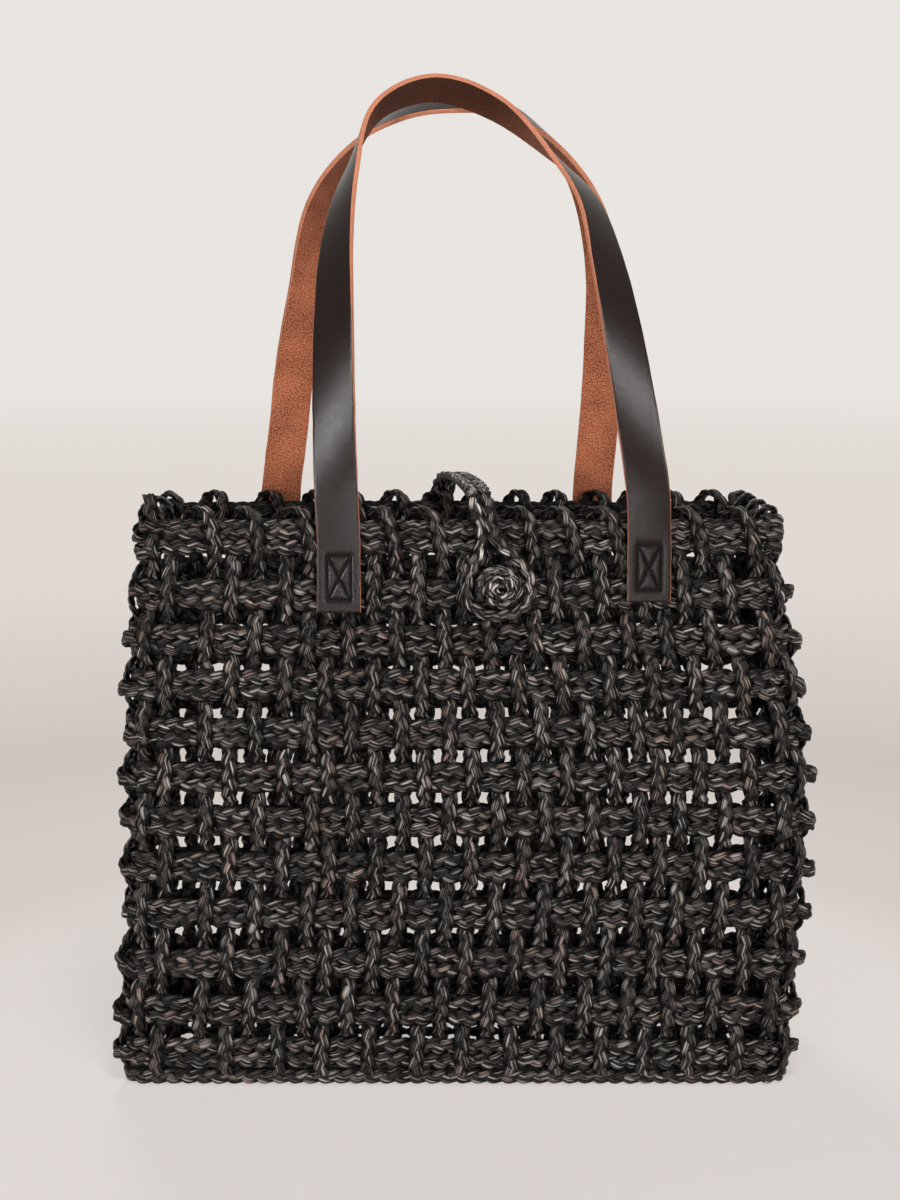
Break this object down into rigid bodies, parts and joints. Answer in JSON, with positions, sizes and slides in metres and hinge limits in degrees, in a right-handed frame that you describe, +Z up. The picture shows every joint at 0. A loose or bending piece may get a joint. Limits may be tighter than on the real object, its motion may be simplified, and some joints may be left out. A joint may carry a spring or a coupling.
{
  "type": "woven grass tote bag",
  "caption": "Open-woven dark braided grass tote with two leather strap handles and a braided loop over a coiled button.",
  "frame": {"origin": "centre of the base, on the surface that the bag stands on", "axes": "+Z up, -Y out of the front wall where the button is, +X to the right as seen from the front"},
  "size_m": [0.4092, 0.1329, 0.5947],
  "materials": {
    "grass_braid": "satin",
    "closure_braid": "satin",
    "strap_leather": "satin",
    "stitch_thread": "matte"
  },
  "bodies": {
    "root": {"weft_row_01": "grass_braid", "weft_row_02": "grass_braid", "weft_row_03": "grass_braid", "weft_row_04": "grass_braid", "weft_row_05": "grass_braid", "weft_row_06": "grass_braid", "weft_row_07": "grass_braid", "weft_row_08": "grass_braid", "weft_row_09": "grass_braid", "weft_row_10": "grass_braid", "weft_row_11": "grass_braid", "weft_row_12": "grass_braid", "rim_braid": "grass_braid", "warp_01": "grass_braid", "warp_02": "grass_braid", "warp_03": "grass_braid", "warp_04": "grass_braid", "warp_05": "grass_braid", "warp_06": "grass_braid", "warp_07": "grass_braid", "warp_08": "grass_braid", "warp_09": "grass_braid", "warp_10": "grass_braid", "warp_11": "grass_braid", "warp_12": "grass_braid", "warp_13": "grass_braid", "warp_14": "grass_braid", "warp_15": "grass_braid", "warp_16": "grass_braid", "warp_17": "grass_braid", "warp_18": "grass_braid", "warp_19": "grass_braid", "warp_20": "grass_braid", "warp_21": "grass_braid", "warp_22": "grass_braid", "warp_23": "grass_braid", "warp_24": "grass_braid", "warp_25": "grass_braid", "warp_26": "grass_braid", "side_strand_1": "grass_braid", "side_strand_2": "grass_braid", "side_strand_3": "grass_braid", "side_strand_4": "grass_braid", "front_handle_left_end": "strap_leather", "front_handle_right_end": "strap_leather", "back_handle_left_end": "strap_leather", "back_handle_right_end": "strap_leather", "front_handle_left_stitch": "stitch_thread", "front_handle_right_stitch": "stitch_thread", "back_handle_left_stitch": "stitch_thread", "back_handle_right_stitch": "stitch_thread", "closure_root": "closure_braid", "button_shank": "closure_braid", "button_coil": "closure_braid"},
    "front_handle": {"front_handle_strap": "strap_leather"},
    "back_handle": {"back_handle_strap": "strap_leather"},
    "closure_strap": {"closure_strap": "closure_braid"},
    "closure_loop": {"closure_loop": "closure_braid"}
  },
  "joints": [
    {"name": "front_handle_fold", "type": "hinge", "parent": "root", "child": "front_handle", "pos_m": [0, -0.066, 0.324], "axis": [1, 0, 0], "range_deg": [0, 170]},
    {"name": "back_handle_fold", "type": "hinge", "parent": "root", "child": "back_handle", "pos_m": [0, 0.066, 0.324], "axis": [-1, 0, 0], "range_deg": [0, 170]},
    {"name": "closure_lift", "type": "hinge", "parent": "root", "child": "closure_strap", "pos_m": [0, 0.0596, 0.35], "axis": [-1, 0, 0], "range_deg": [0, 100]},
    {"name": "closure_swing", "type": "hinge", "parent": "closure_strap", "child": "closure_loop", "pos_m": [0, -0.0673, 0.345], "axis": [-1, 0, 0], "range_deg": [0, 170]}
  ],
  "couplings": [
    {"joint": "closure_swing", "follows": "closure_lift", "ratio": 1.7}
  ]
}
